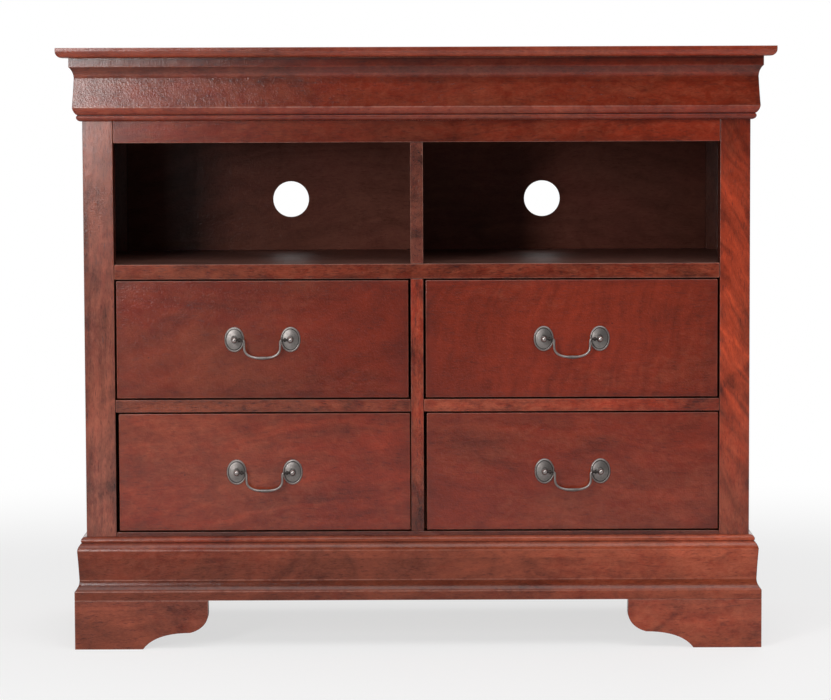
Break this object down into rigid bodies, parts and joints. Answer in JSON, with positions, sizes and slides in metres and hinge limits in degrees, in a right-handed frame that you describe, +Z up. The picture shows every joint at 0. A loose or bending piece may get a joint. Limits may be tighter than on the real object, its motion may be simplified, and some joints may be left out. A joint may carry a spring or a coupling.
{
  "type": "media chest",
  "caption": "Traditional dark-cherry media chest: open compartments with cable holes above sliding drawers with swinging bail pulls, crown moulding and bracket feet.",
  "frame": {"origin": "on the floor, under the middle of the top board's outline", "axes": "+Z up, front faces -Y, +X to the right seen from the front"},
  "size_m": [1.067, 0.457, 0.9],
  "materials": {
    "cherry_finish": "red-brown cherry stain under satin lacquer",
    "compartment_finish": "darker cherry stain, satin",
    "back_panel_finish": "stained thin panel, matt",
    "drawer_wood": "sealed plain hardwood",
    "pewter": "antiqued pewter, soft sheen"
  },
  "bodies": {
    "case": {"top_board": "cherry_finish", "crown_front": "cherry_finish", "crown_left": "cherry_finish", "crown_right": "cherry_finish", "left_front_post": "cherry_finish", "right_front_post": "cherry_finish", "left_side_panel": "cherry_finish", "right_side_panel": "cherry_finish", "top_rail": "cherry_finish", "shelf_rail": "cherry_finish", "left_drawer_rail": "cherry_finish", "right_drawer_rail": "cherry_finish", "centre_stile": "cherry_finish", "bottom_rail": "cherry_finish", "base_front": "cherry_finish", "base_left": "cherry_finish", "base_right": "cherry_finish", "left_front_foot": "cherry_finish", "right_front_foot": "cherry_finish", "left_rear_foot": "cherry_finish", "right_rear_foot": "cherry_finish", "compartment_divider": "compartment_finish", "media_shelf": "compartment_finish", "back_panel": "back_panel_finish", "upper_left_drawer_runner": "drawer_wood", "upper_right_drawer_runner": "drawer_wood", "lower_left_drawer_runner": "drawer_wood", "lower_right_drawer_runner": "drawer_wood"},
    "upper_left_drawer": {"upper_left_drawer_front": "cherry_finish", "upper_left_drawer_left_side": "drawer_wood", "upper_left_drawer_right_side": "drawer_wood", "upper_left_drawer_back": "drawer_wood", "upper_left_drawer_bottom": "drawer_wood", "upper_left_pull_left_post": "pewter", "upper_left_pull_right_post": "pewter"},
    "upper_left_bail": {"upper_left_pull_bail": "pewter"},
    "upper_right_drawer": {"upper_right_drawer_front": "cherry_finish", "upper_right_drawer_left_side": "drawer_wood", "upper_right_drawer_right_side": "drawer_wood", "upper_right_drawer_back": "drawer_wood", "upper_right_drawer_bottom": "drawer_wood", "upper_right_pull_left_post": "pewter", "upper_right_pull_right_post": "pewter"},
    "upper_right_bail": {"upper_right_pull_bail": "pewter"},
    "lower_left_drawer": {"lower_left_drawer_front": "cherry_finish", "lower_left_drawer_left_side": "drawer_wood", "lower_left_drawer_right_side": "drawer_wood", "lower_left_drawer_back": "drawer_wood", "lower_left_drawer_bottom": "drawer_wood", "lower_left_pull_left_post": "pewter", "lower_left_pull_right_post": "pewter"},
    "lower_left_bail": {"lower_left_pull_bail": "pewter"},
    "lower_right_drawer": {"lower_right_drawer_front": "cherry_finish", "lower_right_drawer_left_side": "drawer_wood", "lower_right_drawer_right_side": "drawer_wood", "lower_right_drawer_back": "drawer_wood", "lower_right_drawer_bottom": "drawer_wood", "lower_right_pull_left_post": "pewter", "lower_right_pull_right_post": "pewter"},
    "lower_right_bail": {"lower_right_pull_bail": "pewter"}
  },
  "joints": [
    {"name": "upper_left_drawer_slide", "type": "slide", "parent": "case", "child": "upper_left_drawer", "axis": [0, -1, 0], "range_m": [0, 0.3]},
    {"name": "upper_left_bail_swing", "type": "hinge", "parent": "upper_left_drawer", "child": "upper_left_bail", "pos_m": [-0.2314, -0.2048, 0.46475], "axis": [-1, 0, 0], "range_deg": [-20, 120]},
    {"name": "upper_right_drawer_slide", "type": "slide", "parent": "case", "child": "upper_right_drawer", "axis": [0, -1, 0], "range_m": [0, 0.3]},
    {"name": "upper_right_bail_swing", "type": "hinge", "parent": "upper_right_drawer", "child": "upper_right_bail", "pos_m": [0.2313, -0.2048, 0.46475], "axis": [-1, 0, 0], "range_deg": [-20, 120]},
    {"name": "lower_left_drawer_slide", "type": "slide", "parent": "case", "child": "lower_left_drawer", "axis": [0, -1, 0], "range_m": [0, 0.3]},
    {"name": "lower_left_bail_swing", "type": "hinge", "parent": "lower_left_drawer", "child": "lower_left_bail", "pos_m": [-0.2294, -0.2048, 0.26525], "axis": [-1, 0, 0], "range_deg": [-20, 120]},
    {"name": "lower_right_drawer_slide", "type": "slide", "parent": "case", "child": "lower_right_drawer", "axis": [0, -1, 0], "range_m": [0, 0.3]},
    {"name": "lower_right_bail_swing", "type": "hinge", "parent": "lower_right_drawer", "child": "lower_right_bail", "pos_m": [0.2324, -0.2048, 0.26525], "axis": [-1, 0, 0], "range_deg": [-20, 120]}
  ]
}
